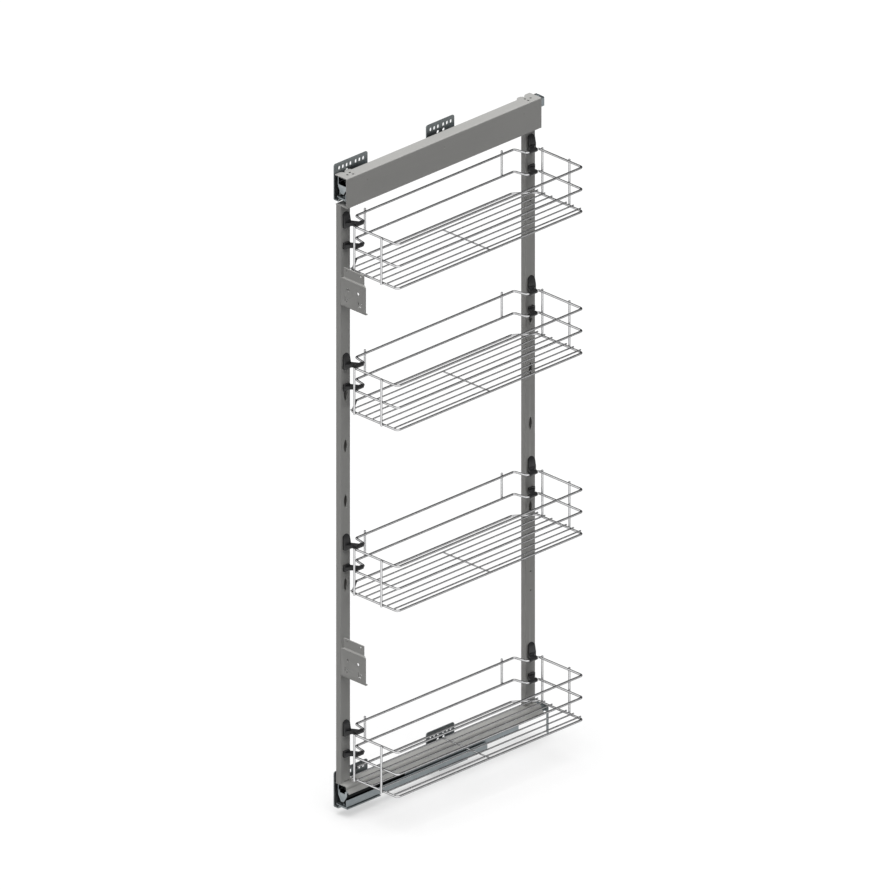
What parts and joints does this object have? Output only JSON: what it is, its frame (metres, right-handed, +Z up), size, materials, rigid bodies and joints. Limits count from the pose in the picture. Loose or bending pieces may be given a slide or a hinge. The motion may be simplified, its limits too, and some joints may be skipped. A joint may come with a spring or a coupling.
{
  "type": "pull out larder unit",
  "caption": "Side-mounted pull-out larder for a narrow tall cabinet: painted frame with wire baskets, sliding on ball runners above and below",
  "frame": {"origin": "On the cabinet side plane, in line with the front face of the front post and with the underside of the lower cabinet rail. The lower front bracket covers this point.", "axes": "+X points from the cabinet side into the cabinet, +Y to the back of the cabinet and +Z up. The unit pulls out towards -Y."},
  "size_m": [0.1516, 0.5002, 1.2695],
  "materials": {
    "frame_paint": "fine satin powder coat, warm grey",
    "runner_zinc": "bright bluish zinc plating",
    "member_black": "black passivated steel, lightly greased",
    "bracket_zinc": "dark bluish zinc plating",
    "basket_wire": "silver plated wire",
    "clip_plastic": "black",
    "cage_plastic": "white",
    "ball_steel": "polished"
  },
  "bodies": {
    "cabinet_rails": {"lower_cabinet_rail": "runner_zinc", "upper_cabinet_rail": "runner_zinc", "lower_front_bracket": "bracket_zinc", "lower_middle_bracket": "bracket_zinc", "upper_front_bracket": "bracket_zinc", "upper_middle_bracket": "bracket_zinc", "bracket_rivets": "runner_zinc"},
    "larder_frame": {"lower_drawer_member": "runner_zinc", "upper_drawer_member": "runner_zinc", "base_beam": "frame_paint", "top_cover": "frame_paint", "front_post": "frame_paint", "rear_post": "frame_paint", "upper_door_bracket": "frame_paint", "lower_door_bracket": "frame_paint", "door_bracket_screws": "runner_zinc", "drawer_end_screws": "runner_zinc", "rear_finger_plate": "bracket_zinc", "top_basket": "basket_wire", "second_basket": "basket_wire", "third_basket": "basket_wire", "bottom_basket": "basket_wire", "front_tongue_clips": "clip_plastic", "rear_tongue_clips": "clip_plastic", "front_peg_clips": "clip_plastic", "rear_peg_clips": "clip_plastic"},
    "lower_middle": {"lower_middle_member": "member_black"},
    "lower_outer_bearing": {"lower_outer_cage": "cage_plastic", "lower_outer_balls": "ball_steel"},
    "lower_inner_bearing": {"lower_inner_cage": "cage_plastic", "lower_inner_balls": "ball_steel"},
    "upper_middle": {"upper_middle_member": "member_black"},
    "upper_outer_bearing": {"upper_outer_cage": "cage_plastic", "upper_outer_balls": "ball_steel"},
    "upper_inner_bearing": {"upper_inner_cage": "cage_plastic", "upper_inner_balls": "ball_steel"}
  },
  "joints": [
    {"name": "frame_slide", "type": "slide", "parent": "cabinet_rails", "child": "larder_frame", "axis": [0, -1, 0], "range_m": [0, 0.45]},
    {"name": "lower_middle_slide", "type": "slide", "parent": "cabinet_rails", "child": "lower_middle", "axis": [0, -1, 0], "range_m": [0, 0.225]},
    {"name": "lower_outer_bearing_slide", "type": "slide", "parent": "cabinet_rails", "child": "lower_outer_bearing", "axis": [0, -1, 0], "range_m": [0, 0.1125]},
    {"name": "lower_inner_bearing_slide", "type": "slide", "parent": "cabinet_rails", "child": "lower_inner_bearing", "axis": [0, -1, 0], "range_m": [0, 0.3375]},
    {"name": "upper_middle_slide", "type": "slide", "parent": "cabinet_rails", "child": "upper_middle", "axis": [0, -1, 0], "range_m": [0, 0.225]},
    {"name": "upper_outer_bearing_slide", "type": "slide", "parent": "cabinet_rails", "child": "upper_outer_bearing", "axis": [0, -1, 0], "range_m": [0, 0.1125]},
    {"name": "upper_inner_bearing_slide", "type": "slide", "parent": "cabinet_rails", "child": "upper_inner_bearing", "axis": [0, -1, 0], "range_m": [0, 0.3375]}
  ],
  "couplings": [
    {"joint": "lower_middle_slide", "follows": "frame_slide", "ratio": 0.5},
    {"joint": "lower_outer_bearing_slide", "follows": "frame_slide", "ratio": 0.25},
    {"joint": "lower_inner_bearing_slide", "follows": "frame_slide", "ratio": 0.75},
    {"joint": "upper_middle_slide", "follows": "frame_slide", "ratio": 0.5},
    {"joint": "upper_outer_bearing_slide", "follows": "frame_slide", "ratio": 0.25},
    {"joint": "upper_inner_bearing_slide", "follows": "frame_slide", "ratio": 0.75}
  ]
}
